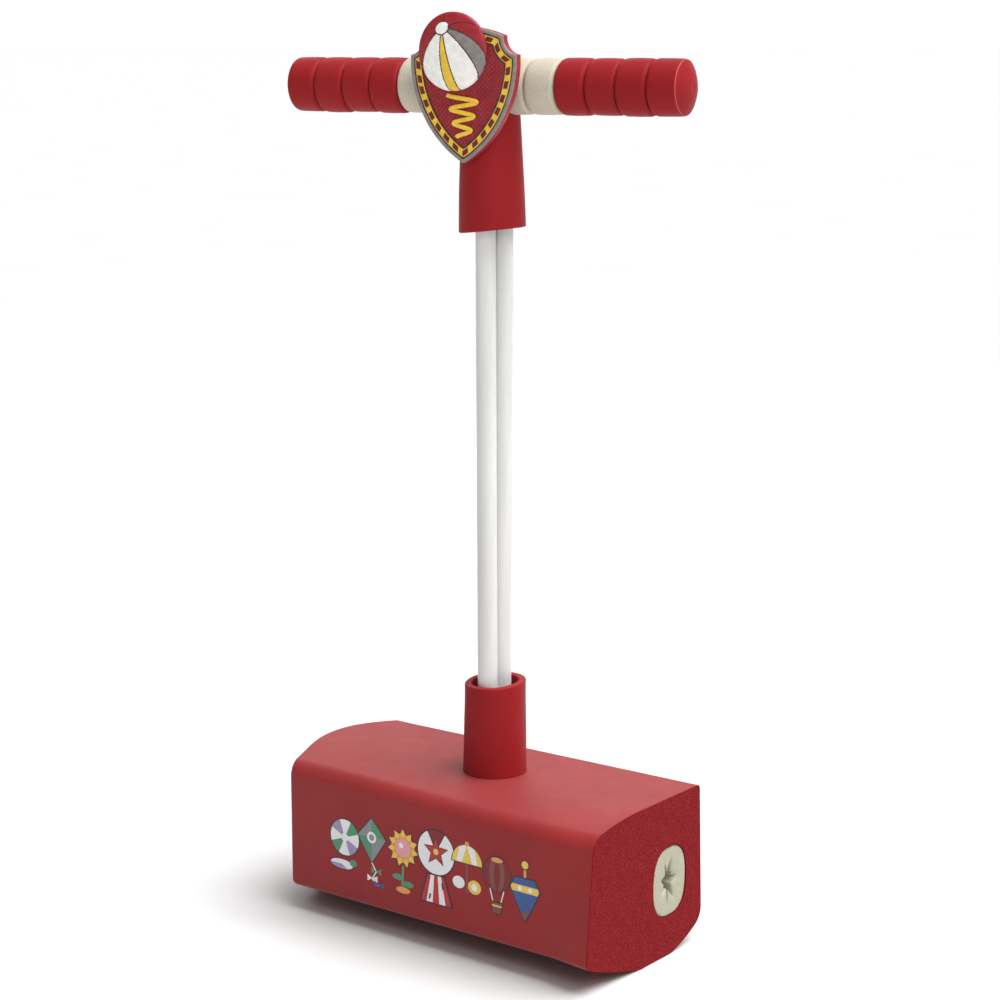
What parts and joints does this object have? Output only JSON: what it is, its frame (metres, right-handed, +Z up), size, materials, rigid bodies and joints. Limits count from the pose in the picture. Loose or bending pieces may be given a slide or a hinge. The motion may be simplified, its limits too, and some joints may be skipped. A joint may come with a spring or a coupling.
{
  "type": "pogo stick",
  "caption": "Foam pogo jumper: padded block base, pair of elastic cords, foam-ringed T handle with a shield badge, and a squeaker in the base.",
  "frame": {"origin": "where the stem's centre line meets the flat of the sole that the base stands on", "axes": "+Z up along the stem, +X to the rider's right along the base, towards its cut end with the end plug, +Y away from the badge and the printed side"},
  "size_m": [0.3081, 0.1358, 0.646],
  "materials": {
    "red_foam": "matte",
    "cream_foam": "matte",
    "white_cord": "satin",
    "dark_plastic": "matte",
    "clear_plastic": "satin",
    "steel_pin": "satin",
    "tube_metal": "satin",
    "badge_red": "matte",
    "badge_grey": "matte",
    "badge_yellow": "matte",
    "badge_dark": "matte",
    "badge_cream": "matte"
  },
  "bodies": {
    "base": {"base_block": "red_foam", "base_end_plug": "cream_foam", "squeaker_bulb": "clear_plastic", "squeaker_reed": "dark_plastic", "base_anchor": "dark_plastic", "base_anchor_pin": "steel_pin", "base_cover_pad": "red_foam", "lower_sleeve": "red_foam", "left_cord_root": "white_cord", "right_cord_root": "white_cord"},
    "cord_lower": {"left_cord_lower": "white_cord", "right_cord_lower": "white_cord"},
    "cord_middle": {"left_cord_middle": "white_cord", "right_cord_middle": "white_cord"},
    "cord_upper": {"left_cord_upper": "white_cord", "right_cord_upper": "white_cord"},
    "handle": {"upper_sleeve": "red_foam", "handle_hub": "dark_plastic", "hub_pin": "steel_pin", "handle_tube": "tube_metal", "left_tube_plug": "dark_plastic", "right_tube_plug": "dark_plastic", "centre_ring": "cream_foam", "badge_saddle": "cream_foam", "badge_plate": "badge_red", "badge_screws": "steel_pin", "badge_rim": "badge_grey", "badge_band": "badge_yellow", "badge_studs": "badge_dark", "badge_field": "badge_red", "badge_ball": "badge_cream", "badge_spring": "badge_yellow", "left_cream_ring_1": "cream_foam", "left_cream_ring_2": "cream_foam", "left_red_ring_1": "red_foam", "left_red_ring_2": "red_foam", "left_red_ring_3": "red_foam", "left_red_ring_4": "red_foam", "right_cream_ring_1": "cream_foam", "right_cream_ring_2": "cream_foam", "right_red_ring_1": "red_foam", "right_red_ring_2": "red_foam", "right_red_ring_3": "red_foam", "right_red_ring_4": "red_foam", "left_cord_head": "white_cord", "right_cord_head": "white_cord"}
  },
  "joints": [
    {"name": "lean_forward", "type": "hinge", "parent": "base", "child": "cord_lower", "pos_m": [0, 0, 0.215], "axis": [1, 0, 0], "range_deg": [-45, 45], "stiffness_Nm_per_rad": 7, "deforming": ["left_cord_root", "right_cord_root", "left_cord_lower", "right_cord_lower"]},
    {"name": "lean_sideways", "type": "hinge", "parent": "cord_lower", "child": "cord_middle", "pos_m": [0, 0, 0.275], "axis": [0, 1, 0], "range_deg": [-45, 45], "stiffness_Nm_per_rad": 7, "deforming": ["left_cord_middle", "right_cord_middle"]},
    {"name": "handle_twist", "type": "hinge", "parent": "cord_middle", "child": "cord_upper", "pos_m": [0, 0, 0.355], "axis": [0, 0, 1], "range_deg": [-99, 81], "stiffness_Nm_per_rad": 0.25, "deforming": ["left_cord_upper", "right_cord_upper"]},
    {"name": "cord_stretch", "type": "slide", "parent": "cord_upper", "child": "handle", "axis": [0, 0, 1], "range_m": [0, 0.3], "stiffness_N_per_m": 350, "springref_m": -0.004, "deforming": ["left_cord_head", "right_cord_head"]}
  ]
}
